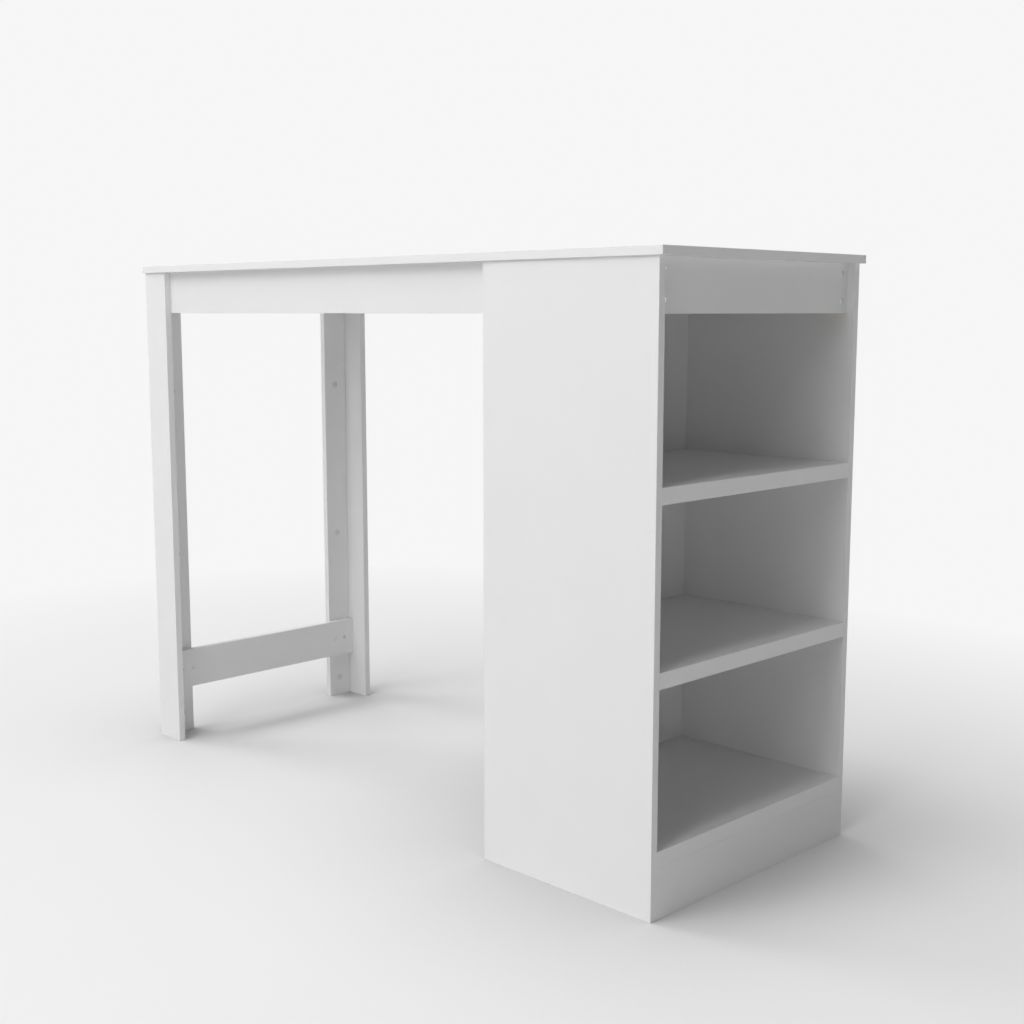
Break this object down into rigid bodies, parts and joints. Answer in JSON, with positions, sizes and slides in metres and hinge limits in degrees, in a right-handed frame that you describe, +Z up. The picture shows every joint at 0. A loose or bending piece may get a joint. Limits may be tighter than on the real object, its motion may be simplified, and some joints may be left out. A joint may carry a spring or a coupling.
{
  "type": "bar table with shelves",
  "caption": "Tall white bar table: a slab top carried by an open shelf cabinet at one end and L-shaped board legs joined by a low stretcher at the other",
  "frame": {"origin": "on the floor, under the middle of the table top", "axes": "+X along the top from the legs to the shelf end, +Y from the front to the rear long side, +Z up"},
  "size_m": [1.52, 0.585, 1.1],
  "materials": {
    "white_board": "chipboard faced with matt white melamine, edges banded in the same white",
    "softwood_cleat": "planed softwood, bare",
    "zinc_cam": "die-cast zinc, dull",
    "steel_bolt": "zinc-plated steel",
    "beech_dowel": "fluted beech, bare"
  },
  "bodies": {
    "root": {"table_top": "white_board", "front_side_panel": "white_board", "rear_side_panel": "white_board", "back_panel": "white_board", "bottom_shelf": "white_board", "middle_shelf": "white_board", "upper_shelf": "white_board", "plinth": "white_board", "fascia": "white_board", "front_apron": "white_board", "rear_apron": "white_board", "end_rail": "white_board", "stretcher": "white_board", "front_leg_flange": "white_board", "rear_leg_flange": "white_board", "front_leg_web": "white_board", "rear_leg_web": "white_board", "front_fascia_cleat": "softwood_cleat", "rear_fascia_cleat": "softwood_cleat", "front_leg_cams": "zinc_cam", "rear_leg_cams": "zinc_cam", "front_leg_cam_bolts": "steel_bolt", "rear_leg_cam_bolts": "steel_bolt", "bottom_shelf_dowels": "beech_dowel", "middle_shelf_dowels": "beech_dowel", "upper_shelf_dowels": "beech_dowel", "plinth_dowels": "beech_dowel", "apron_dowels": "beech_dowel"}
  },
  "joints": []
}
